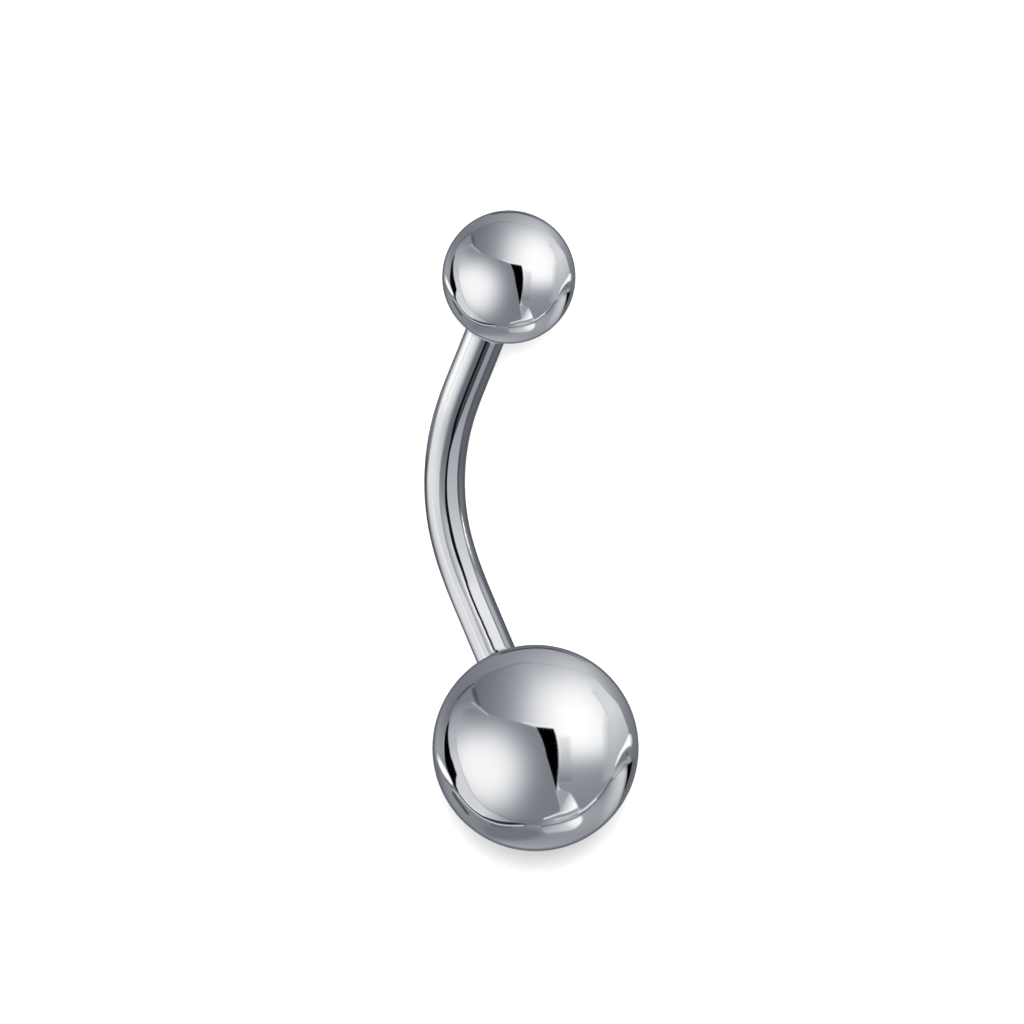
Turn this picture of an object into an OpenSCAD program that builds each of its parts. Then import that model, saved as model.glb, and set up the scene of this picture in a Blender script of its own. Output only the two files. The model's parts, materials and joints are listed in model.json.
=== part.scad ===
// Navel ring: a curved polished steel bar with a large ball at one end and a smaller
// ball at the other, lying on a flat surface as it comes to rest by itself.
//
// +X runs from the large ball to the small one, +Z is up. The ring rests on both balls
// and on the belly of its bend, which leans out and down towards +Y. The origin is the
// middle of its bounding box, at the surface that it lies on.

/* [Bar] */
// Diameter of the bar, 14 gauge
bar_d = 1.6; // [1.4:0.1:2]
// Radius of the bend, to the middle of the bar
bend_radius = 7.6; // [6:0.1:11]
// Angle that the bar turns through in its bend
bend_angle = 56.6; // [46:0.1:76]
// Straight stretch between the bend and the small ball
small_straight = 2.5; // [1:0.1:6]
// Straight stretch between the bend and the large ball
large_straight = 3.7; // [1:0.1:6]

/* [Balls] */
// Diameter of the small ball, which unscrews
small_ball_d = 5.2; // [4.4:0.1:8]
// Diameter of the large ball
large_ball_d = 8; // [5:0.5:12]

/* [Screwed ends] */
// Diameter of the stud at each end of the bar, over its thread
stud_d = 1.4; // [1:0.05:1.5]
// Length of each stud beyond the bar's shoulder
stud_length = 2.6; // [1.6:0.1:3.2]
// Chamfer at the tip of each stud
stud_chamfer = 0.2; // [0.05:0.05:0.4]
// Play between a stud and its bore, on the radius
thread_play = 0.03; // [0.02:0.01:0.08]
// Gap between the bar's shoulder and the flat that it seats on
seat_gap = 0.02; // [0:0.01:0.05]
// Room between a stud's tip and the end of its bore
tip_room = 0.3; // [0.1:0.1:0.6]
// Angle of the drill's point, which the end of each bore keeps
drill_angle = 118; // [90:1:140]

/* [Hidden] */

$fn = 96;
steel = [0.62, 0.63, 0.66];

bar_r = bar_d / 2;
stud_r = stud_d / 2;
small_r = small_ball_d / 2;
large_r = large_ball_d / 2;
half_bend = bend_angle / 2;

// Distance from a ball's centre to the flat that is as wide as the bar
function seat_distance(ball_r) = sqrt(ball_r * ball_r - bar_r * bar_r);

// The bar's own plane has X along the bar at the top of its bend, where its origin is,
// and Y on the outer side of the bend. A ball's centre is found along the straight end.
function ball_centre(side, straight, ball_r) =
    let (reach = straight + seat_gap + seat_distance(ball_r))
    [side * (bend_radius * sin(half_bend) + reach * cos(half_bend)),
     -bend_radius * (1 - cos(half_bend)) - reach * sin(half_bend)];

small_centre = ball_centre(1, small_straight, small_r);
large_centre = ball_centre(-1, large_straight, large_r);

// The chord joins the two centres. Turned level, its origin at the large ball's centre,
// it gives the place of the bend's centre along it and beside it.
chord = small_centre - large_centre;
chord_length = norm(chord);
chord_turn = atan2(chord[1], chord[0]);
to_bend = [0, -bend_radius] - large_centre;
bend_along = to_bend[0] * cos(chord_turn) + to_bend[1] * sin(chord_turn);
bend_beside = to_bend[1] * cos(chord_turn) - to_bend[0] * sin(chord_turn);

// Both balls stand on the surface, so the chord slopes down to the small one.
slope = asin((large_r - small_r) / chord_length);

// The ring then rolls about the chord until the belly of the bend meets the surface. The
// middle of the bend is at height bend_height - bend_beside * drop there, and the bar's
// lowest point is bend_radius * sqrt(sin(slope)^2 + drop^2) + bar_r further down, which
// gives a quadratic in drop, the sine of the angle that the bend hangs at.
bend_height = large_r - bend_along * sin(slope);
above_bar = bend_height - bar_r;
qa = bend_radius * bend_radius - bend_beside * bend_beside;
qb = 2 * above_bar * bend_beside;
qc = pow(bend_radius * sin(slope), 2) - above_bar * above_bar;
drop = (sqrt(qb * qb - 4 * qa * qc) - qb) / (2 * qa);
// A shallow bend hangs straight down and clears the surface.
roll = asin(min(1, drop / cos(slope)));

// The large ball's centre in the part's frame, which centres the bounding box
reach_x = chord_length * cos(slope);
belly_y = (bend_beside + bend_radius) * cos(roll) + bar_r;
wide_r = max(large_r, small_r);
large_x = (max(large_r, small_r - reach_x) - max(small_r, large_r - reach_x) - reach_x) / 2;
large_y = (wide_r - max(wide_r, belly_y)) / 2;

// Lays what is drawn in the bar's own plane on the surface, as the ring rests.
module at_rest() {
    translate([large_x, large_y, large_r])
        rotate([0, slope, 0])
        rotate([-roll, 0, 0])
        rotate([0, 0, -chord_turn])
        translate([-large_centre[0], -large_centre[1], 0])
            children();
}

// Stands what is drawn along +Z on one end of the bend, pointing out along the bar.
module on_end(side) {
    mirror([side < 0 ? 1 : 0, 0, 0])
        translate([0, -bend_radius, 0])
        rotate([0, 0, -half_bend])
        translate([0, bend_radius, 0])
        rotate([0, 90, 0])
            children();
}

// One end of the bar: its straight stretch, and the stud that the ball screws onto
module bar_end(straight) {
    tip_r = stud_r - stud_chamfer;
    rotate_extrude()
        polygon([
            [0, 0],
            [bar_r, 0],
            [bar_r, straight],
            [stud_r, straight],
            [stud_r, straight + stud_length - stud_chamfer],
            [tip_r, straight + stud_length],
            [0, straight + stud_length]
        ]);
}

// A ball on the end of a straight stretch: half of its section, with the flat and the
// blind bore, turned about the bore
module ball(ball_r, straight) {
    seat = straight + seat_gap;
    bore_r = stud_r + thread_play;
    bore_end = straight + stud_length + tip_room;
    point = bore_r / tan(drill_angle / 2);
    rotate_extrude()
        difference() {
            translate([0, seat + seat_distance(ball_r)])
                circle(r = ball_r);
            translate([-ball_r, seat])
                square([ball_r, 2 * ball_r]);
            translate([-ball_r, seat - ball_r])
                square([2 * ball_r, ball_r]);
            polygon([
                [-bore_r, seat - ball_r],
                [bore_r, seat - ball_r],
                [bore_r, bore_end],
                [0, bore_end + point],
                [-bore_r, bore_end]
            ]);
        }
}

module bar() {
    color(steel) at_rest() {
        translate([0, -bend_radius, 0])
            rotate([0, 0, 90 - half_bend])
            rotate_extrude(angle = bend_angle)
            translate([bend_radius, 0])
                circle(r = bar_r);
        on_end(1) bar_end(small_straight);
        on_end(-1) bar_end(large_straight);
    }
}

module small_ball() {
    color(steel) at_rest() on_end(1) ball(small_r, small_straight);
}

module large_ball() {
    color(steel) at_rest() on_end(-1) ball(large_r, large_straight);
}

bar();
small_ball();
large_ball();
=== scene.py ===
import json
import math

import bpy
import numpy as np
from mathutils import Matrix, Vector


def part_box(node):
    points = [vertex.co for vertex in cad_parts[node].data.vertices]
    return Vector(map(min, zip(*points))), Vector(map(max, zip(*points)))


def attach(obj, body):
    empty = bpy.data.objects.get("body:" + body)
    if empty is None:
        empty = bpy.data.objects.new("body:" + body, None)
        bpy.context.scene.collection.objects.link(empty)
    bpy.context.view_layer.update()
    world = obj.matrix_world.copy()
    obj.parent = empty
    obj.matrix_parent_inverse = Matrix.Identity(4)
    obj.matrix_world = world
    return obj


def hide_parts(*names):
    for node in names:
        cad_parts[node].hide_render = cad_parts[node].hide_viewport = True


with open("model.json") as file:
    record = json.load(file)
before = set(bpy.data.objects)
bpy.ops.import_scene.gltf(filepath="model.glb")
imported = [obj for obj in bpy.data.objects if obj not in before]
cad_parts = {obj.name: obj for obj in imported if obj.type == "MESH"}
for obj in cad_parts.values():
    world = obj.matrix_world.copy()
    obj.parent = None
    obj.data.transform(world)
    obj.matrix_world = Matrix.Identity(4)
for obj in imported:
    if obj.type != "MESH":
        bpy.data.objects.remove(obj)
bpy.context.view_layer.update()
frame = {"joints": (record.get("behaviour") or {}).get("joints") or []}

MM = 0.001

# Camera. It hangs straight above the ring, which lies on both balls and on the belly of its
# bend. The small ball is at the top of the picture and the large ball at the bottom.
camera_height = 300 * MM
aim_height = 3 * MM
view_width = 39.81 * MM
camera_x = 0.717 * MM
camera_y = 0.394 * MM
picture_turn = math.radians(-3.23)

picture_up = Vector((math.cos(picture_turn), math.sin(picture_turn), 0))
picture_right = Vector((math.sin(picture_turn), -math.cos(picture_turn), 0))
overhead = Vector((0, 0, 1))

camera_data = bpy.data.cameras.new("camera")
camera_data.lens = camera_data.sensor_width * (camera_height - aim_height) / view_width
camera_data.clip_start = 10 * MM
camera_data.clip_end = 5
camera = bpy.data.objects.new("camera", camera_data)
camera_axes = Matrix((picture_right, picture_up, overhead)).transposed()
camera.matrix_world = Matrix.Translation((camera_x, camera_y, camera_height)) @ camera_axes.to_4x4()
bpy.context.scene.collection.objects.link(camera)
bpy.context.scene.camera = camera

# Bar. A rod of 316L surgical steel, 1.6 mm thick, turned down and threaded at both ends, bent
# cold round a former and then buffed to a mirror. The balls screw home against its shoulders.
bar_radius = 0.8
bend_radius = 7.25
bend_angle = math.radians(56.6)
small_ease = 1.7
large_ease = 3.6
stud_length = 2.6
shank_rings = 121
thread_pitch = 0.35
thread_crest = 0.70
thread_root = 0.57
neck_radius = 0.55
neck_length = 0.22
tip_chamfer = 0.2
edge_break = 0.03
sharp_edge = math.radians(40)
bar_sides = 128
rings_per_thread = 14

# The path runs from the small ball's end of the bar to the large ball's, in millimetres from
# the small end's shoulder. Both balls' centres and the direction that the small ball screws
# off in come from the frame. The bend tightens and eases off again over a few millimetres, as
# a rod does that is pulled round a former by hand.
small_radius = 2.6
large_radius = 4.0
seat_gap = 0.02


def middle(node_name):
    low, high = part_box(node_name)
    return np.array((low + high) / 2) / MM


def unit(vector):
    return vector / np.linalg.norm(vector)


def seat_distance(ball_radius):
    """From a ball's centre to the flat that is as wide as the bar."""
    return math.sqrt(ball_radius**2 - bar_radius**2)


small_centre = middle("small_ball")
large_centre = middle("large_ball")
small_out = unit(np.array(frame["joints"][0]["axis"]))
plane_normal = unit(np.cross(small_out, small_centre - large_centre))
outer_side = np.cross(plane_normal, small_out)
large_ahead = -small_out * math.cos(bend_angle) - outer_side * math.sin(bend_angle)
small_shoulder = small_centre - small_out * (seat_distance(small_radius) + seat_gap)
large_shoulder = large_centre - large_ahead * (seat_distance(large_radius) + seat_gap)

tight_length = bend_radius * bend_angle - (small_ease + large_ease) / 2
bend_length = small_ease + tight_length + large_ease
bend_marks = np.linspace(0, bend_length, 4001)
eases = [0, small_ease, small_ease + tight_length, bend_length]
tightness = np.interp(bend_marks, eases, [0, 1, 1, 0])


def summed(values):
    """Running sum of values at the bend's marks, times the distance between marks."""
    return np.append(0, np.cumsum((values[1:] + values[:-1]) / 2)) * bend_marks[1]


turned = summed(tightness / bend_radius)
forward = summed(np.cos(turned))
aside = summed(np.sin(turned))
reach = large_shoulder - small_shoulder
large_straight = (-reach @ outer_side - aside[-1]) / math.sin(bend_angle)
small_straight = -reach @ small_out - forward[-1] - large_straight * math.cos(bend_angle)
bar_length = small_straight + bend_length + large_straight


def path(along):
    """Centre of the bar, its direction and its outer side, at a distance from the small shoulder."""
    mark = min(max(along - small_straight, 0), bend_length)
    turn = np.interp(mark, bend_marks, turned)
    out = outer_side * math.cos(turn) - small_out * math.sin(turn)
    ahead = -small_out * math.cos(turn) - outer_side * math.sin(turn)
    centre = small_shoulder - small_out * (small_straight + np.interp(mark, bend_marks, forward))
    centre = centre - outer_side * np.interp(mark, bend_marks, aside)
    return centre + ahead * (along - small_straight - mark), ahead, out


def thread(along, angle, root, crest):
    """Radius of a right-hand thread with rounded crests and roots."""
    steepness = 1.6
    wave = np.cos(2 * math.pi * along / thread_pitch - angle)
    return root + (crest - root) * (0.5 + 0.5 * np.tanh(steepness * wave) / math.tanh(steepness))


def turned_piece(name, rings, sides, materials):
    """A closed mesh of rings round the bar's path. A ring is (along, radius, material of the
    faces up to the next ring). A radius of 0 is a single point on the axis."""
    angles = np.linspace(0, 2 * math.pi, sides, endpoint=False)
    points, unbent, starts = [], [], []
    for along, radius, _ in rings:
        centre, ahead, out = path(along)
        beside = np.cross(ahead, out)
        lone = np.ndim(radius) == 0 and radius == 0
        spin = angles[:1] if lone else angles
        across = np.cos(spin) * radius
        up = np.sin(spin) * radius
        starts.append((len(points), lone))
        points.extend(centre + np.outer(across, out) + np.outer(up, beside))
        unbent.extend(np.column_stack((np.full(len(spin), along), across, up)))
    faces, kinds = [], []
    for (first, first_lone), (second, second_lone), (_, _, kind) in zip(starts, starts[1:], rings):
        for side in range(sides):
            beyond = (side + 1) % sides
            if first_lone:
                faces.append((first, second + beyond, second + side))
            elif second_lone:
                faces.append((first + side, first + beyond, second))
            else:
                faces.append((first + side, first + beyond, second + beyond, second + side))
            kinds.append(kind)
    mesh = bpy.data.meshes.new(name)
    mesh.from_pydata((np.array(points) * MM).tolist(), [], faces)
    for material in materials:
        mesh.materials.append(material)
    mesh.polygons.foreach_set("material_index", kinds)
    place = mesh.attributes.new("unbent", "FLOAT_VECTOR", "POINT")
    place.data.foreach_set("vector", np.array(unbent, dtype=np.float32).ravel())
    mesh.shade_smooth()
    mesh.set_sharp_from_angle(angle=sharp_edge)
    mesh.validate()
    piece = bpy.data.objects.new(name, mesh)
    bpy.context.scene.collection.objects.link(piece)
    return piece


def linear(colour):
    """An sRGB hex colour as linear red, green, blue and alpha."""
    values = [int(colour[i:i + 2], 16) / 255 for i in (1, 3, 5)]
    return tuple(v / 12.92 if v <= 0.04045 else ((v + 0.055) / 1.055) ** 2.4 for v in values) + (1,)


def add_node(tree, kind, settings=None, inputs=None):
    """Adds a node. Settings are its properties. An input is a value, or another node's output."""
    node = tree.nodes.new(kind)
    for name, value in (settings or {}).items():
        setattr(node, name, value)
    for name, value in (inputs or {}).items():
        if isinstance(value, bpy.types.NodeSocket):
            tree.links.new(value, node.inputs[name])
        else:
            node.inputs[name].default_value = value
    return node


def new_material(name):
    material = bpy.data.materials.new(name)
    material.use_nodes = True
    material.node_tree.nodes.clear()
    return material, material.node_tree


def polished_steel(name, grain_stretch, turns, line_depth, ripple_depth):
    """316L steel buffed on a cloth wheel. The eye sees a mirror, a little cool and grey, that
    only goes soft in faint clouds and in hairlines which the wheel's grit leaves behind. Sizes
    and depths are in millimetres, and a hairline is drawn wider than a real one, to show."""
    steel_light = "#cbcccb"
    steel_dark = "#c5c6c6"
    cloud_size = 1.4
    hairline_width = 0.035
    ripple_size = 0.7
    smooth, hazy = 0.03, 0.065
    material, tree = new_material(name)
    place = add_node(tree, "ShaderNodeAttribute", {"attribute_name": "unbent"})
    clouds = add_node(tree, "ShaderNodeTexNoise", inputs={
        "Vector": place.outputs["Vector"], "Scale": 1 / cloud_size, "Detail": 3, "Roughness": 0.55})
    lines = None
    for turn in turns:
        grain = add_node(tree, "ShaderNodeMapping", inputs={
            "Vector": place.outputs["Vector"], "Rotation": turn, "Scale": grain_stretch})
        hairs = add_node(tree, "ShaderNodeTexNoise", inputs={
            "Vector": grain.outputs["Vector"], "Scale": 1 / hairline_width, "Detail": 2})
        if lines is None:
            lines = hairs.outputs["Fac"]
        else:
            both = add_node(tree, "ShaderNodeMath", {"operation": "ADD"})
            tree.links.new(lines, both.inputs[0])
            tree.links.new(hairs.outputs["Fac"], both.inputs[1])
            half = add_node(tree, "ShaderNodeMath", {"operation": "MULTIPLY"})
            tree.links.new(both.outputs["Value"], half.inputs[0])
            half.inputs[1].default_value = 0.5
            lines = half.outputs["Value"]
    haze = add_node(tree, "ShaderNodeMix", inputs={
        "Factor": 0.4, "A": clouds.outputs["Fac"], "B": lines})
    roughness = add_node(tree, "ShaderNodeMapRange", inputs={
        "Value": haze.outputs["Result"], "From Min": 0.35, "From Max": 0.7,
        "To Min": smooth, "To Max": hazy})
    tone = add_node(tree, "ShaderNodeMix", {"data_type": "RGBA"})
    tree.links.new(clouds.outputs["Fac"], tone.inputs["Factor"])
    tone.inputs[6].default_value = linear(steel_dark)
    tone.inputs[7].default_value = linear(steel_light)
    ripples = add_node(tree, "ShaderNodeTexNoise", inputs={
        "Vector": place.outputs["Vector"], "Scale": 1 / ripple_size, "Detail": 1})
    uneven = add_node(tree, "ShaderNodeBump", inputs={
        "Strength": 1.0, "Distance": ripple_depth * MM, "Height": ripples.outputs["Fac"]})
    relief = add_node(tree, "ShaderNodeBump", inputs={
        "Strength": 1.0, "Distance": line_depth * MM, "Height": lines,
        "Normal": uneven.outputs["Normal"]})
    shader = add_node(tree, "ShaderNodeBsdfPrincipled", inputs={
        "Base Color": tone.outputs[2], "Metallic": 1.0,
        "Roughness": roughness.outputs["Result"], "Normal": relief.outputs["Normal"]})
    add_node(tree, "ShaderNodeOutputMaterial", inputs={"Surface": shader.outputs["BSDF"]})
    return material


def cut_steel(name):
    """316L steel as the thread die, the tap and the drill leave it. The eye sees a duller, darker
    metal with fine rings round its axis, one for each turn under the tool. Grooves and the bore
    get painted shade: their colour is darkened where nearby steel hides them from light."""
    ring_pitch = 0.05
    ring_scale = 0.314 / ring_pitch
    wear_size = 1 / 6
    ring_depth = 0.001
    crevice_shade_reach = 1.5
    material, tree = new_material(name)
    place = add_node(tree, "ShaderNodeAttribute", {"attribute_name": "unbent"})
    rings = add_node(tree, "ShaderNodeTexWave", {"bands_direction": "X"}, {
        "Vector": place.outputs["Vector"], "Scale": ring_scale, "Distortion": 0.6, "Detail": 1})
    wear = add_node(tree, "ShaderNodeTexNoise", inputs={
        "Vector": place.outputs["Vector"], "Scale": 1 / wear_size, "Detail": 4})
    tone = add_node(tree, "ShaderNodeMix", {"data_type": "RGBA"})
    tree.links.new(wear.outputs["Fac"], tone.inputs["Factor"])
    tone.inputs[6].default_value = linear("#a9abb0")
    tone.inputs[7].default_value = linear("#c2c4c9")
    roughness = add_node(tree, "ShaderNodeMapRange", inputs={
        "Value": wear.outputs["Fac"], "From Min": 0.3, "From Max": 0.7, "To Min": 0.2, "To Max": 0.34})
    relief = add_node(tree, "ShaderNodeBump", inputs={
        "Strength": 1.0, "Distance": ring_depth * MM, "Height": rings.outputs["Fac"]})
    # Painted shade: ambient occlusion darkens the colour in the thread's grooves and in the bore.
    painted_crevice_shade = add_node(tree, "ShaderNodeAmbientOcclusion", {"only_local": True, "samples": 8}, {
        "Color": tone.outputs[2], "Distance": crevice_shade_reach * MM})
    shader = add_node(tree, "ShaderNodeBsdfPrincipled", inputs={
        "Base Color": painted_crevice_shade.outputs["Color"], "Metallic": 1.0,
        "Roughness": roughness.outputs["Result"], "Normal": relief.outputs["Normal"]})
    add_node(tree, "ShaderNodeOutputMaterial", inputs={"Surface": shader.outputs["BSDF"]})
    return material


round_the_bar = [(0, 0, 0), (0, 0.12, 0.09)]
bar_polish = polished_steel("steel_316l_buffed_bar", (1, 0.04, 0.04), round_the_bar, 0.0002, 0.0015)
screw_cut = cut_steel("steel_316l_screw_cut")
POLISHED, CUT = 0, 1

bar_angles = np.linspace(0, 2 * math.pi, bar_sides, endpoint=False)


def stud_rings(beyond):
    """Rings of one stud from its shoulder to its tip, as distances beyond the shoulder."""
    rings = [(0, neck_radius), (neck_length, neck_radius)]
    count = int(rings_per_thread * (stud_length - neck_length) / thread_pitch)
    for depth in np.linspace(neck_length, stud_length, count)[1:]:
        along = beyond(depth)
        ridge = thread(along, bar_angles, thread_root, thread_crest)
        share = min(1, (depth - neck_length) / (thread_pitch / 2))
        run_in = neck_radius + (thread_crest - neck_radius) * share
        run_out = thread_crest - max(0, tip_chamfer - (stud_length - depth))
        rings.append((depth, np.minimum(np.minimum(ridge, run_in), run_out)))
    rings.append((stud_length, 0))
    return [(beyond(depth), radius) for depth, radius in rings]


def rounded_edge(count=4):
    """Steps (back from the face, in from the side) round a shoulder's broken edge."""
    for turn in np.linspace(0, math.pi / 2, count):
        yield edge_break * (1 - math.sin(turn)), edge_break * (1 - math.cos(turn))


small_stud = [(along, radius, CUT) for along, radius in stud_rings(lambda depth: -depth)][::-1]
large_stud = [(along, radius, CUT) for along, radius in stud_rings(lambda depth: bar_length + depth)]
shank = [(back, bar_radius - side, POLISHED) for back, side in rounded_edge()][::-1]
shank += [(along, bar_radius, POLISHED) for along in np.linspace(0.1, bar_length - 0.1, shank_rings)]
shank += [(bar_length - back, bar_radius - side, POLISHED) for back, side in rounded_edge()]
bar = turned_piece("bar_316l_steel", small_stud + shank + large_stud, bar_sides, [bar_polish, screw_cut])
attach(bar, "bar_and_large_ball")
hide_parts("bar")

# Large ball. A solid 8 mm ball of the same steel, ground round, drilled and tapped blind to half
# its depth, faced flat where the bar's shoulder seats, and tumbled to a mirror on all sides.
ball_sides = 192
ball_rings = 128
bore_depth = 2.9
bore_play = 0.04
bore_chamfer = 0.06
drill_half_angle = math.radians(59)


def ball_piece(name, ball_radius, end, materials):
    """A drilled ball screwed on at one end of the bar: end is -1 for the small end, 1 for the large."""
    angles = np.linspace(0, 2 * math.pi, ball_sides, endpoint=False)
    shoulder = 0 if end < 0 else bar_length
    root = thread_root + bore_play
    crest = thread_crest + bore_play
    profile = [(bore_depth + root / math.tan(drill_half_angle), 0, CUT)]
    count = int(rings_per_thread * bore_depth / thread_pitch)
    for depth in np.linspace(bore_depth, seat_gap, count):
        ridge = thread(shoulder + end * depth, angles, root, crest)
        mouth = crest + max(0, bore_chamfer - (depth - seat_gap)) - bore_chamfer
        at_mouth = depth - seat_gap < bore_chamfer
        profile.append((depth, np.maximum(ridge, mouth) if at_mouth else ridge, CUT))
    centre = seat_gap + seat_distance(ball_radius)
    edge = math.asin(bar_radius / ball_radius)
    for tilt in np.linspace(edge, math.pi, ball_rings):
        radius = 0 if tilt == math.pi else ball_radius * math.sin(tilt)
        profile.append((centre - ball_radius * math.cos(tilt), radius, POLISHED))
    rings = [(shoulder + end * depth, radius, kind) for depth, radius, kind in profile]
    if end < 0:
        kinds = [kind for _, _, kind in rings][:-1][::-1] + [POLISHED]
        rings = [(along, radius, kind) for (along, radius, _), kind in zip(rings[::-1], kinds)]
    return turned_piece(name, rings, ball_sides, materials)


scratch_turns = [(0, 0, 0), (0.3, 1.1, 0.5), (1.4, 0.2, 2.2)]
ball_polish = polished_steel("steel_316l_tumbled_ball", (0.03, 1, 1), scratch_turns, 0.00002, 0.0004)
large_ball = ball_piece("large_ball_316l_steel", large_radius, 1, [ball_polish, screw_cut])
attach(large_ball, "bar_and_large_ball")
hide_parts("large_ball")

# Small ball. A 5.2 mm ball of the same steel, made as the large one is. It is the one that
# unscrews, so that the bar can go through the piercing, and its thread shows when it is off.
small_ball = ball_piece("small_ball_316l_steel", small_radius, -1, [ball_polish, screw_cut])
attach(small_ball, "small_ball")
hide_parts("small_ball")

for piece in (bar, large_ball, small_ball):
    piece.visible_glossy = False

# Floor. A sheet of matt white card, which takes the ring's soft shadow. The steel doesn't see
# it, because the tents further down give every tone that the steel shows.
floor_size = 1.2
card_fibre = 1 / 3
floor_mesh = bpy.data.meshes.new("floor")
half = floor_size / 2
corners = [(-half, -half, 0), (half, -half, 0), (half, half, 0), (-half, half, 0)]
floor_mesh.from_pydata(corners, [], [(0, 1, 2, 3)])
floor = bpy.data.objects.new("floor", floor_mesh)
bpy.context.scene.collection.objects.link(floor)
card, card_tree = new_material("matt_white_card")
card_place = add_node(card_tree, "ShaderNodeTexCoord")
card_grain = add_node(card_tree, "ShaderNodeTexNoise", inputs={
    "Vector": card_place.outputs["Object"], "Scale": 1 / (card_fibre * MM), "Detail": 3})
card_tone = add_node(card_tree, "ShaderNodeMix", {"data_type": "RGBA"})
card_tree.links.new(card_grain.outputs["Fac"], card_tone.inputs["Factor"])
card_tone.inputs[6].default_value = linear("#eeeeee")
card_tone.inputs[7].default_value = linear("#f2f2f2")
card_shader = add_node(card_tree, "ShaderNodeBsdfPrincipled", inputs={
    "Base Color": card_tone.outputs[2], "Roughness": 0.9, "Specular IOR Level": 0.1})
add_node(card_tree, "ShaderNodeOutputMaterial", inputs={"Surface": card_shader.outputs["BSDF"]})
floor_mesh.materials.append(card)
floor.visible_glossy = False

# Daylight all round and two wide lamps in one place, high up beyond the small ball's end. They
# light the floor to a white that is just over-exposed. Every piece shades the main lamp and only
# the large ball the fill lamp, because in the photograph the floor is white up to the bar and
# the small ball.
daylight = 0.95
lamp_tilt = math.radians(73)
lamp_distance = 500 * MM
lamp_width = 280 * MM
main_power, fill_power = 2.0, 1.0

world = bpy.data.worlds.new("white_room")
world.use_nodes = True
world.node_tree.nodes["Background"].inputs["Color"].default_value = (1, 1, 1, 1)
world.node_tree.nodes["Background"].inputs["Strength"].default_value = daylight
bpy.context.scene.world = world
world.cycles_visibility.glossy = False

lamp_from = picture_up * math.cos(lamp_tilt) + overhead * math.sin(lamp_tilt)


def wide_lamp(name, power, blockers):
    """A round lamp over the ring that only these pieces shade."""
    lamp_data = bpy.data.lights.new(name, "AREA")
    lamp_data.shape = "DISK"
    lamp_data.size = lamp_width
    lamp_data.energy = power
    lamp = bpy.data.objects.new(name, lamp_data)
    lamp.location = lamp_from * lamp_distance
    lamp.rotation_mode = "QUATERNION"
    lamp.rotation_quaternion = lamp_from.to_track_quat("Z", "Y")
    lamp.visible_glossy = False
    lamp.visible_camera = False
    shading = bpy.data.collections.new(name + "_is_shaded_by")
    for piece in blockers:
        shading.objects.link(piece)
    lamp.light_linking.blocker_collection = shading
    bpy.context.scene.collection.objects.link(lamp)


wide_lamp("main_lamp", main_power, (bar, large_ball, small_ball))
wide_lamp("fill_lamp", fill_power, (large_ball,))

# Light tents. White cloth all round the ring with lamps behind it and black flags pinned on it,
# which is what polished steel is photographed in. Places on a tent are degrees right and up of
# the camera, as the tent's centre sees them. Tones are what the steel shows.
# The tents glow only in the steel's mirror, so their tones are painted reflections.
large_tent_radius = 350 * MM
small_tent_radius = 320 * MM
small_tent_turn = math.radians(-5)
coarse_cloth, fine_cloth = 0.6, 0.3


def cut_cloth(step):
    """Rows and columns of a tent's cloth, in degrees apart, and the places where they cross."""
    tilts = np.append(np.arange(0, 180, step), 180)
    turns = np.radians(np.arange(0, 360, step))
    tilt, turn = (grid.ravel() for grid in np.meshgrid(tilts, turns, indexing="ij"))
    return tilts, turns, tilt, turn, np.column_stack((tilt * np.cos(turn), tilt * np.sin(turn)))


tilts, turns, tilt, turn, chart = cut_cloth(coarse_cloth)
chart_right, chart_up = chart.T


def soft_lamp(centre, reach, power):
    """Glow of a lamp behind cloth, 1 at its centre. Reach is (left, right, down, up) in degrees."""
    across = chart_right - centre[0]
    along = chart_up - centre[1]
    left, right, down, up = reach
    across = across / np.where(across < 0, left, right)
    along = along / np.where(along < 0, down, up)
    return np.exp(-np.hypot(across, along) ** power)


def distance_to(line):
    """Degrees from each chart place to a line of points."""
    nearest = np.full(len(chart), np.inf)
    for start, end in zip(np.array(line[:-1], float), np.array(line[1:], float)):
        run = end - start
        share = np.clip((chart - start) @ run / (run @ run), 0, 1)
        nearest = np.minimum(nearest, np.hypot(*(chart - start - share[:, None] * run).T))
    return nearest


def rounded(outline):
    """The same outline with its corners cut off twice, as cloth hangs in curves."""
    for _ in range(2):
        starts = np.array(outline)
        ends = np.roll(outline, -1, axis=0)
        cuts = np.stack((0.75 * starts + 0.25 * ends, 0.25 * starts + 0.75 * ends), axis=1)
        outline = [tuple(point) for point in cuts.reshape(-1, 2)]
    return outline


def inside(outline):
    """Whether each chart place is inside an outline."""
    within = np.zeros(len(chart), bool)
    for (x0, y0), (x1, y1) in zip(outline, outline[1:] + outline[:1]):
        if y0 != y1:
            crosses = (chart_up < y0) != (chart_up < y1)
            within ^= crosses & (chart_right < x0 + (chart_up - y0) * (x1 - x0) / (y1 - y0))
    return within


def panel(outline, soft=1.5):
    """Cover of a panel on each chart place, from 0 to 1, with an edge this many degrees soft."""
    gap = distance_to(outline + outline[:1])
    return np.clip(0.5 + np.where(inside(outline), gap, -gap) / soft, 0, 1)


def strip(line, width, soft=1.5):
    """Cover of a narrow strip along a line."""
    return np.clip(0.5 + (width / 2 - distance_to(line)) / soft, 0, 1)


def fade(from_place, to_place):
    """0 at one chart place, 1 at another, and even between."""
    start, end = np.array(from_place, float), np.array(to_place, float)
    run = end - start
    return np.clip((chart - start) @ run / (run @ run), 0, 1)


def lay(tone, cover, over):
    """Lays a tone over what is there."""
    return over + (tone - over) * cover


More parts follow.
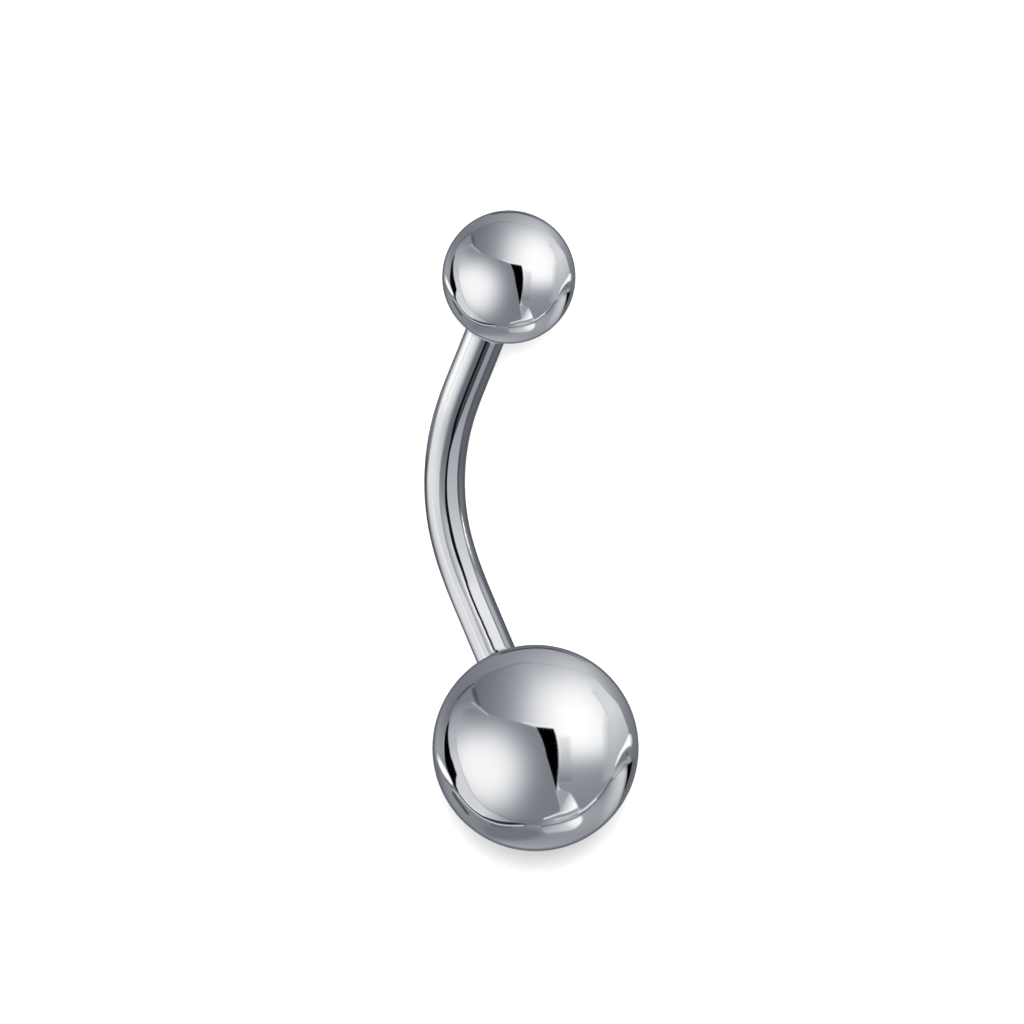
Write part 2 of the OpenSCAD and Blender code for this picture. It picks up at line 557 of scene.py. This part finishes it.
def directions(centre, twist=0):
    """Where each chart place lies, as directions from a tent's centre. A twist turns them round
    the line to the camera."""
    to_camera = unit(np.array(camera.matrix_world.translation) - centre * MM)
    top = unit(np.array(picture_up) - to_camera * (to_camera @ np.array(picture_up)))
    side = np.cross(top, to_camera)
    around = np.outer(np.cos(turn + twist), side) + np.outer(np.sin(turn + twist), top)
    return np.cos(np.radians(tilt))[:, None] * to_camera + np.sin(np.radians(tilt))[:, None] * around


def raise_tent(name, centre, tent_radius, tone, pieces, twist=0):
    """Hangs a tent round a centre that only these pieces see, glowing so that steel shows this
    tone. Dark cloth glows a little bluer than bright cloth."""
    steel_head_on = 0.57
    shade_tint = np.array((0.91, 0.955, 1.125))
    shade_onset = 1.4
    steel_shows = steel_head_on + (1 - steel_head_on) * (1 - np.cos(np.radians(tilt / 2))) ** 5
    shade = np.clip(1 - tone, 0, 1)[:, None] ** shade_onset
    glow = (tone / steel_shows)[:, None] * (1 + (shade_tint - 1) * shade)
    outward = directions(centre, twist)
    index = np.arange(len(chart)).reshape(len(tilts), len(turns))
    beside = np.roll(index, -1, axis=1)
    quads = np.stack((index[:-1], index[1:], beside[1:], beside[:-1]), axis=-1).reshape(-1, 4)
    mesh = bpy.data.meshes.new(name)
    mesh.from_pydata((centre * MM + tent_radius * outward).tolist(), [], quads.tolist())
    layer = mesh.color_attributes.new("glow", "FLOAT_COLOR", "POINT")
    colours = np.column_stack((glow, np.ones(len(glow)))).astype(np.float32)
    layer.data.foreach_set("color", colours.ravel())
    cloth, tree = new_material(name + "_cloth")
    light = add_node(tree, "ShaderNodeAttribute", {"attribute_name": "glow"})
    glowing = add_node(tree, "ShaderNodeEmission", inputs={"Color": light.outputs["Color"]})
    sheer = add_node(tree, "ShaderNodeBsdfTransparent")
    both = add_node(tree, "ShaderNodeAddShader")
    tree.links.new(glowing.outputs["Emission"], both.inputs[0])
    tree.links.new(sheer.outputs["BSDF"], both.inputs[1])
    add_node(tree, "ShaderNodeOutputMaterial", inputs={"Surface": both.outputs["Shader"]})
    cloth.cycles.emission_sampling = "NONE"
    mesh.materials.append(cloth)
    tent = bpy.data.objects.new(name, mesh)
    bpy.context.scene.collection.objects.link(tent)
    lit = bpy.data.collections.new(name + "_lights")
    for piece in pieces:
        lit.objects.link(piece)
    tent.light_linking.receiver_collection = lit
    tent.visible_camera = False
    tent.visible_diffuse = False
    tent.visible_shadow = False


# What the balls see. First the cloth near the table and below it, lit by what spills past
tone = 0.305 + 1.4 * soft_lamp((52, -3), (62, 38, 23, 88), 1.5)
tone += 0.28 * soft_lamp((-75, -66), (70, 146, 135, 101), 4.5)
tone += 0.18 * soft_lamp((-145, -3), (12, 22, 17, 63), 1.9)
tone += 0.27 * soft_lamp((96, -95), (123, 17, 61, 42), 2.7)
tone += 0.46 * soft_lamp((119, -37), (22, 8, 66, 12), 2.6)
tone -= 0.49 * soft_lamp((-18, -114), (180, 188, 39, 180), 1.3)
dark_table = [(-74, -104), (-72, -137), (-30, -129), (-8, -121.5), (10, -114), (8, -102), (-30, -99)]
tone = lay(0.175, panel(rounded(dark_table), 12), tone)

# The tent's inside, down to where it meets the table
tent_foot = [
    (-107, 64), (-103, 70), (-97, 75), (-90, 80), (-82, 85), (-75, 90), (-68, 95), (-60, 98.5),
    (-50, 101.5), (-40, 105), (-30, 108.5), (-20, 110.5), (0, 109), (40, 105), (70, 100), (84, 90),
    (92, 79), (100, 71), (110, 64), (118, 52), (123, 38), (130, 24), (126, 5), (118, -1), (112, -6),
    (104, -18), (98, -30), (92, -42), (84, -55), (75, -66), (65, -75), (55, -84), (45, -88), (35, -92),
    (25, -94.5), (10, -96.5), (-10, -95), (-30, -94.5), (-50, -94), (-60, -92), (-70, -89),
    (-80, -82.5), (-90, -74), (-95, -68), (-101, -61), (-104, -52), (-108, -48), (-117, -30),
    (-121, -20), (-122, -5), (-121.5, 15), (-118, 32), (-114, 48)]
foot_tone = lay(0.63, fade((0, 10), (0, -22)), lay(0.45, fade((0, 60), (0, 15)), 0.22))
foot_tone = lay(0.19, fade((-66, 0), (-24, 0)) * fade((0, -70), (0, -84)), foot_tone)
foot_tone = lay(0.40, fade((5, 0), (25, 0)) * fade((0, -80), (0, -86)), foot_tone)
tone = lay(foot_tone, panel(rounded(tent_foot), 1.5), tone)

# Upper right cloth, with the key lamp behind it
upper = [
    (-83, 79), (-75, 89), (-68, 94), (-60, 97.5), (-50, 100.5), (-40, 104), (-30, 107.5), (-20, 109.5),
    (0, 108.5), (40, 105), (70, 100), (84, 90), (92, 79), (100, 71), (110, 64), (118, 52), (123, 38),
    (130, 24), (126, 5), (118, -1), (110, -8), (102, -22), (95, -36), (84, -52), (75, -62), (62, -74),
    (54, -76), (51, -70), (45, -60), (40, -51), (25, -48), (26, -20), (25, 2), (23, 14), (20, 21.5),
    (1, 23), (-10, 25.5), (-20, 28.5), (-30, 31.5), (-40, 34.5), (-50, 37.5), (-60, 42), (-68, 49),
    (-76, 60)]
upper_tone = 0.101 + 0.62 * soft_lamp((51, 18), (57, 65, 33, 79), 2.9)
upper_tone += 0.34 * soft_lamp((2, 65), (46, 200, 148, 129), 1.2)
by_flag = [(25, 13), (38.5, 12), (40.5, -37), (25, -38)]
by_flag_tone = lay(0.80, fade((0, -36), (0, 14)), 0.22)
upper_tone = lay(by_flag_tone, panel(by_flag, 5), upper_tone)
side_cloth = [
    (72, 70), (80, 62), (86, 52), (88, 42), (84, 25), (84, -40), (140, -40), (150, 40), (110, 110),
    (82, 110)]
side_tone = (0.4 + 0.26 * fade((0, -22), (0, 50))) * (1 - 0.15 * fade((100, 0), (125, 0)))
side_tone = lay(0.6, fade((0, 60), (0, 90)), side_tone)
upper_tone = lay(side_tone, panel(side_cloth, 12), upper_tone)
tone = lay(upper_tone, panel(rounded(upper), 1.5), tone)

# Left panel, with the second lamp behind it
left = [
    (-99, 37), (-85, 51), (-72, 46.5), (-60, 41), (-40, 34.5), (-20, 28.5), (0, 23), (3, 17), (7, 8),
    (10, 0), (12.5, -12), (17, -25), (20, -36), (23, -47), (27, -60), (31, -76), (20, -80.5), (10, -85),
    (-8, -88), (-32, -88), (-40, -85), (-50, -81), (-60, -75.5), (-70, -67), (-76, -60), (-82, -48),
    (-90, -30), (-96, -10), (-98.5, 2), (-100, 20)]
left_tone = 0.2 + 0.7 * soft_lamp((-59, -22), (53, 46, 55, 45), 3.1)
left_tone += 0.19 * soft_lamp((-159, 25), (9, 77, 68, 34), 4.5)
tone = lay(left_tone, panel(rounded(left), 2), tone)
left_hem = [
    (-99, 22), (-99.5, 4), (-96, -10), (-90, -30), (-82, -48), (-79, -56), (-76, -60), (-70, -67),
    (-60, -75.5), (-50, -81), (-40, -85), (-30, -89)]
tone = lay(tone * 0.66, strip(left_hem, 1.2, 2.2) * fade((0, 25), (0, -40)), tone)

# Seams and folds of the cloth
seam = [(-79, 56), (-75, 54), (-70, 50.5), (-65, 46.5), (-60, 42), (-56, 39)]
tone = lay(0.52, strip(seam, 1.2, 2), tone)
deep_fold = [(-84, 78), (-79, 79), (-74, 70), (-67, 50), (-71, 53), (-80, 67)]
tone = lay(0.08, panel(deep_fold, 3) * 0.85, tone)
tone = lay(0.055, strip([(-106, 65), (-102, 70), (-97, 75), (-90, 80), (-82, 84.5)], 2.2, 2.5), tone)
tent_line = [
    (-82, 85), (-75, 90), (-68, 95), (-60, 99), (-50, 102), (-40, 105.5), (-30, 109), (-20, 111),
    (-6, 111)]
tone = lay(tone * 0.62, strip(tent_line, 1.6, 2.6) * (1 - fade((-70, 0), (0, 0)) * 0.6), tone)
right_seam = [(73, 70), (77, 66), (81, 60), (85, 53.5), (88, 47), (90, 42)]
tone = lay(tone * 0.78, strip(right_seam, 2, 2), tone)
flag_glow = [(-12, 28), (0, 25), (19, 23.5), (22.5, 17), (25, 8), (27, -2), (27.5, -20)]
tone = lay(1.0, strip(flag_glow, 1, 2) * 0.6 * fade((0, -22), (0, 0)), tone)

# Lit corner of the tent beside the left panel
tone = lay(0.30, panel([(24, -47.5), (38, -50), (41, -55), (34, -66), (31, -76)], 2.5) * 0.9, tone)
lit_corner = [
    (32, -68), (36, -59), (40, -53), (45, -60), (50, -69), (51, -72.5), (45, -76), (38, -79),
    (31, -80.5)]
tone = lay(lay(0.97, fade((32, -66), (47, -70)), 0.4), panel(lit_corner, 2.5), tone)
tone = lay(0.88, strip([(11, -86), (20, -82.3), (31, -78.5), (40, -76.3), (49, -72.5)], 1.8, 2), tone)
under_edge = [(10, -88.5), (20, -86.2), (30, -83.2), (40, -80), (46, -77.5), (51, -75)]
tone = lay(0.2, strip(under_edge, 1.2, 2), tone)
tone = lay(0.6, strip([(25, -88), (40, -84.3), (50, -80.3), (55, -78)], 2.5, 2.5) * 0.85, tone)

# Where the cloth meets the table: a dark gap, with a bright edge on either side
table_gap = [
    (-100, -61), (-95, -67), (-90, -73.5), (-85, -78), (-80, -81.5), (-75, -84.5), (-70, -87.5),
    (-65, -89), (-60, -90), (-50, -92), (-40, -92.7), (-30, -92.7), (-20, -93.3), (-9, -94.7),
    (-20, -95.5), (-30, -96.3), (-40, -96.8), (-50, -96), (-60, -93.7), (-70, -90.6), (-75, -87.5),
    (-80, -84), (-85, -80.5), (-90, -76), (-95, -70), (-101, -63.5)]
tone = lay(0.008, panel(table_gap, 1.5), tone)
inner_edge = [(-98, -61.5), (-92, -69), (-86, -75), (-80, -79.5), (-73, -83.5), (-66, -86.5)]
tone = lay(0.95, strip(inner_edge, 0.6, 1.8), tone)
outer_edge = [
    (-112, -57), (-106, -62), (-100, -67.5), (-92, -76), (-85, -82), (-78, -87), (-70, -92),
    (-60, -95.8), (-50, -98.3), (-40, -99), (-30, -98.5), (-16, -97)]
tone = lay(0.85, strip(outer_edge, 1, 2), tone)
tone = lay(0.09, strip([(-58, -101.5), (-48, -102.5), (-38, -102.5), (-30, -101)], 2.5, 3) * 0.8, tone)
dark_corner = [(-113, -63), (-110, -68), (-105, -75), (-99, -83), (-95, -90)]
tone = lay(0.055, strip(dark_corner, 6.5, 5) * 0.95, tone)
right_gap = [
    (8, -98), (20, -96), (30, -94.5), (40, -91.5), (50, -88.5), (55, -86), (60, -81.5), (65, -78),
    (70, -73), (75, -68.5), (80, -62)]
tone = lay(0.03, strip(right_gap, 1.4, 1.6), tone)
tone = lay(0.95, strip([(54, -80.5), (62, -76.2), (70, -70), (76, -64.5)], 1.2, 1.8), tone)
tone = lay(0.12, strip([(80, -62), (84, -57), (88, -50.5), (92, -45), (97, -39)], 4, 5), tone)

# Right side of the table: a streak, the table's edge and the dark thing beyond it
table_edge = [(100, -34), (106, -18), (114, -6), (124, -1), (127, -10), (118, -17), (108, -24)]
tone = lay(0.19, panel(table_edge, 4), tone)
tone = lay(0.42, strip([(98, -36), (105, -28), (112, -21.5), (120, -18.5), (134, -20)], 2.5, 3.5), tone)
tone = lay(0.07, strip([(124.5, -7), (124.5, -9)], 3, 3), tone)
tone = lay(0.4, strip([(127, -14), (132, -16)], 4, 4), tone)
edge_line = [(99, -42), (105, -36), (110, -31.5), (115, -28), (120, -25), (127, -22.5)]
tone = lay(0.2, strip(edge_line, 1, 2.5), tone)
right_streak = [
    (100, -25), (103, -16), (106, -10), (110, -4), (114, 0.5), (118, 5), (122, 9.5), (126, 15),
    (131, 20), (137, 19), (139, 10), (136, 3), (126, 2), (122, -0.5), (118, -3), (113, -7), (108, -13)]
tone = lay(lay(0.4, fade((129, 0), (139, 0)), 1.0), panel(rounded(right_streak), 3), tone)
dark_side = [(130, -22), (152, -17), (155, -60), (135, -100), (123, -92), (129, -70), (131, -50)]
tone = lay(0.135, panel(dark_side, 4), tone)

# Lit table beyond the gap
table_light = [
    (8, -99), (20, -97.3), (30, -95.8), (40, -92.8), (50, -89.8), (58, -85.5), (60.5, -91), (60.5, -97),
    (57, -103), (51, -109), (30, -110), (10, -110)]
table_tone = 0.3 + 0.46 * fade((10, 0), (54, 0))
table_tone = lay(0.92, fade((38, -99), (50, -90)), table_tone)
table_tone = lay(0.5, fade((0, -99), (0, -114)), table_tone)
tone = lay(table_tone, panel(rounded(table_light), 4), tone)

# Streak at the left
left_streak = [
    (-143, -5), (-139.5, -9.5), (-134, -16.5), (-128, -22.6), (-122.3, -28.8), (-117.3, -34.8),
    (-112.2, -42.5), (-109.5, -49.5), (-114, -49.5), (-120, -44.5), (-127, -39), (-134, -32),
    (-140, -24), (-147, -14)]
tone = lay(lay(0.35, fade((-135, -20), (-147, -8)), 1.0), panel(rounded(left_streak), 3), tone)
tone = lay(0.09, strip([(-128, -42), (-118, -50), (-108, -55.5), (-103, -59)], 2, 3), tone)
tone = lay(0.45, strip([(-124.8, 16), (-124.5, -6)], 1.5, 2) * 0.7, tone)

# Black flags
flag = [
    (0.5, 23), (20, 21.5), (22.3, 15), (24, 7), (25, 0), (25.6, -10), (25.8, -20), (25.3, -30),
    (24.8, -40), (24, -48.5), (22.6, -46), (20.6, -39), (17.8, -29), (14.8, -19), (12, -10), (9.8, 0),
    (6.5, 10)]
side_flag = [
    (-114, 39), (-115, 33), (-115.3, 20), (-114, 10), (-112, 0), (-109.5, -10), (-105, -20),
    (-101.5, -30), (-100, -34), (-102.5, -40), (-104, -50), (-100.5, -61), (-105, -56), (-109.5, -50),
    (-113, -41.3), (-118.2, -31.4), (-121.8, -21.2), (-122.8, -10), (-123.2, 5), (-122.4, 18),
    (-119.6, 30)]
low_flag = [
    (126, -23), (133, -21), (141, -18.5), (139.5, -25), (138.5, -32), (137, -40), (134, -50),
    (130.5, -62), (128.5, -58), (129, -50), (128.8, -42), (127.3, -32)]
for outline in (flag, side_flag, low_flag):
    tone = lay(0.0, panel(outline, 1.5), tone)

# Painted shade: the far side of the table, dark under the ring's own edge
tone = lay(0.155, np.clip((tilt - 150) / 8, 0, 1), tone)
top_rim = [(-50, 143), (-30, 147), (-15, 149), (0, 150), (15, 150), (30, 147), (50, 141), (75, 129.5)]
tone = lay(0.02, strip(top_rim, 6, 6) * (1 - 0.6 * fade((30, 147), (75, 130))), tone)

# The large ball alone shows a shadow at its upper left, and the small ball a little spilt light
shadow = strip([(-117, 38), (-110, 56), (-100, 70), (-90, 80)], 6, 8)
large_tone = lay(tone * 0.75, shadow, tone)
raise_tent("tent_round_large_ball", large_centre, large_tent_radius, large_tone, [large_ball])
spill = 0.05 * soft_lamp((-95, 38), (30, 30, 28, 30), 2)
spill += 0.07 * soft_lamp((-22, -132), (45, 60, 32, 30), 2)
raise_tent(
    "tent_round_small_ball", small_centre, small_tent_radius, tone + spill, [small_ball], small_tent_turn)

# What the bar sees. It has flags and cloth of its own, so that its bands run along it from ball
# to ball as they do in the photograph, though it lies with both its ends raised. A place on its
# tent is given by where the bar mirrors it: how many millimetres along the bar from the small
# ball's end, and how many degrees round it from its ridge, more being further right.
bar_tent_radius = 750 * MM


def mirrored_by_bar(tent_radius):
    """Millimetres along the bar and degrees round it where it mirrors each place of the tent."""
    eye = np.array(camera.matrix_world.translation) / MM
    on_tent = large_centre + directions(large_centre) * tent_radius / MM
    end_on = math.radians(60)
    steps = np.linspace(0, bar_length, 200)
    middles = np.array([path(step)[0] for step in steps])
    along = np.full(len(chart), bar_length / 2)
    for _ in range(4):
        place = np.column_stack([np.interp(along, steps, row) for row in middles.T])
        to_eye = (eye - place) / np.linalg.norm(eye - place, axis=1)[:, None]
        to_tent = (on_tent - place) / np.linalg.norm(on_tent - place, axis=1)[:, None]
        mirror = to_eye + to_tent
        bent = np.arctan2(-mirror @ small_out, mirror @ outer_side)
        bent = np.clip((bent + end_on) % math.pi - end_on, 0, bend_angle)
        along = small_straight + np.interp(bent, turned, bend_marks)
    ahead = -np.outer(np.cos(bent), small_out) - np.outer(np.sin(bent), outer_side)
    ridge = to_eye - ahead * np.sum(to_eye * ahead, axis=1)[:, None]
    ridge /= np.linalg.norm(ridge, axis=1)[:, None]
    right = np.cross(ridge, ahead)
    return along, np.degrees(np.arctan2(np.sum(mirror * right, axis=1), np.sum(mirror * ridge, axis=1)))


def along_bar(*steps):
    """A value that changes evenly between steps of (millimetres along the bar, value)."""
    return np.interp(mirrored_along, *zip(*steps))


def slope(line, width):
    """0 left of a line that runs along the bar and 1 right of it, changing over a width."""
    share = np.clip(0.5 + (mirrored_round - line) / width, 0, 1)
    return share * share * (3 - 2 * share)


def band(left, right, soft=2):
    """Cover of a band between two lines that run along the bar."""
    return slope(left, soft) * (1 - slope(right, soft))


tilts, turns, tilt, turn, chart = cut_cloth(fine_cloth)
mirrored_along, mirrored_round = mirrored_by_bar(bar_tent_radius)

# Bright cloth at the left with dark beyond it, and its slow fall towards the ridge
bright = along_bar(
    (2.2, 0.98), (3, 0.93), (4, 0.77), (6, 0.74), (7, 0.69), (8, 0.625), (10, 0.64), (11.1, 0.70))

# Every place at this angle round the bar mirrors one point of the tent, so the tones meet in it
meeting_line = -39
meeting = along_bar((3, 0), (3.6, 0.85)) * np.exp(-((mirrored_round - meeting_line) / 6) ** 2)
bright = lay(0.72, meeting, bright)

dark_left = along_bar((3, 0.16), (4, 0.18), (5, 0.15), (5.5, 0.085))
left_line = along_bar(
    (2.2, -56.5), (3, -54), (4, -52), (4.7, -52), (5.5, -55.5), (6, -58), (8, -59), (9, -59), (10, -62),
    (11, -65))
left_soft = along_bar((2.5, 26), (3.5, 14), (6, 14), (8, 22), (11, 25))
tone = lay(bright, slope(left_line, left_soft), dark_left)
tone *= 1 - along_bar((3, 0.33), (4, 0.36), (5, 0.24), (7, 0.06), (9, 0.0)) * slope(-26, 25)

# Grey cloth from there to the flag, with a fold in it that runs to the large ball
grey_line = along_bar(
    (4, -9.5), (4.7, -11), (5.5, -13.8), (7, -17), (9, -17.5), (10.6, -18.3), (11.1, -16))
grey_left = along_bar((3, 0.14), (5, 0.17), (6, 0.235), (7, 0.34), (8, 0.40), (10, 0.44), (11.1, 0.52))
grey_right = along_bar(
    (3, 0.14), (5, 0.155), (6, 0.22), (7, 0.29), (8, 0.46), (9, 0.58), (10.5, 0.64), (11.1, 0.52))
grey = lay(grey_right, slope(-8, 8), grey_left)
tone = lay(grey, slope(grey_line, along_bar((3, 18), (4, 14), (5, 9), (6.5, 4), (10, 3))), tone)
fold = band(grey_line + 0.3, grey_line + 4, 2.5)
tone = lay(0.27, fold * along_bar((6, 0), (7, 0.4), (8.5, 0.9), (10.5, 0.85), (11.1, 0.55)), tone)

# Light cloth right of the flag, brightest towards the large ball
light_edge = along_bar(
    (2.5, 37.4), (4, 37.4), (5, 37.8), (6, 37.6), (7, 37.6), (8, 38.8), (8.5, 38.4), (9.5, 36.5),
    (10.5, 34.6), (11, 32.4))
light = along_bar((2.2, 0.29), (3, 0.325), (5, 0.395), (7, 0.48), (9, 0.60), (10.5, 0.69), (11.1, 0.79))
tone = lay(light, slope(7, 2), tone)

# Dark cloth at the right, with a hem, a paler fold towards the large ball and a row of glints
dark = along_bar(
    (3, 0.125), (5, 0.12), (6, 0.145), (7, 0.17), (8, 0.16), (9, 0.19), (10, 0.17), (10.5, 0.14))
dark = lay(0.10, slope(62, 16), dark)
pale = along_bar(
    (7.3, 0.13), (8, 0.19), (8.5, 0.33), (9, 0.30), (9.5, 0.23), (10, 0.23), (10.5, 0.34), (11, 0.41))
dark = lay(pale, (1 - slope(50.5, 11)) * along_bar((7.3, 0), (7.6, 1)), dark)
tone = lay(dark, slope(light_edge, 2.5), tone)
hem = along_bar((2.5, 0.6), (3.3, 0.4), (4, 0.1), (4.6, 0.2), (5, 0.9), (7, 0.9), (7.5, 0))
tone = lay(0.07, band(39.8, 45, 3) * hem, tone)
last_hem = along_bar((10, 0), (10.6, 0.7), (11.1, 0.9))
tone = lay(0.19, band(light_edge + 0.3, light_edge + 4.3, 2) * last_hem, tone)
dashes = np.cos(24 * mirrored_along + mirrored_round / 2.2)
dashes += np.cos(15 * mirrored_along - mirrored_round / 3)
glints = band(44.2, 48.6, 3) * along_bar((7.4, 0), (7.75, 0.5), (8, 0.9), (8.7, 1), (9.3, 0.6), (10, 0))
tone = lay(1.5, glints * (0.7 + 0.15 * dashes), tone)

# Flag, with a dark grey one beside it towards the small ball and a bright gap towards the large
flag_left = along_bar(
    (2.5, 7.2), (3, 6.6), (3.5, 5.6), (4.5, 6.0), (5, 4.6), (5.5, 2.8), (6, 1.4), (6.5, 0.6), (7, -0.8),
    (7.5, -0.9), (8, 0.1), (8.5, -0.9), (9.5, -0.5), (10, 0.7), (10.5, -0.9), (11.1, -3.4))
flag_right = along_bar(
    (2.2, 23.1), (3, 21.6), (3.5, 19.2), (4, 16.5), (4.5, 12.3), (5, 9.4), (5.5, 8.4), (6, 7.2),
    (6.5, 6.5), (7, 6.2), (7.5, 7.1), (8, 7.7), (8.5, 7.9), (9, 7.7), (9.5, 7.9), (10, 7.6),
    (10.5, 6.2), (11.1, 2.0))
gap = band(flag_left - 5, flag_left, 2) * along_bar((9.8, 0), (10.3, 0.35), (10.7, 0.9), (11.1, 0.75))
tone = lay(0.95, gap, tone)
tone = lay(light, band(flag_left, 12, 1) * along_bar((10, 0), (10.3, 1)), tone)
tone = lay(0.06, band(flag_left, flag_right), tone)
tone = lay(0.005, band(flag_left, np.minimum(flag_right, 13)), tone)
raise_tent("tent_round_bar", large_centre, bar_tent_radius, tone, [bar])

# Shown as it is, so that a tone of 1 is white
bpy.context.scene.view_settings.view_transform = "Standard"
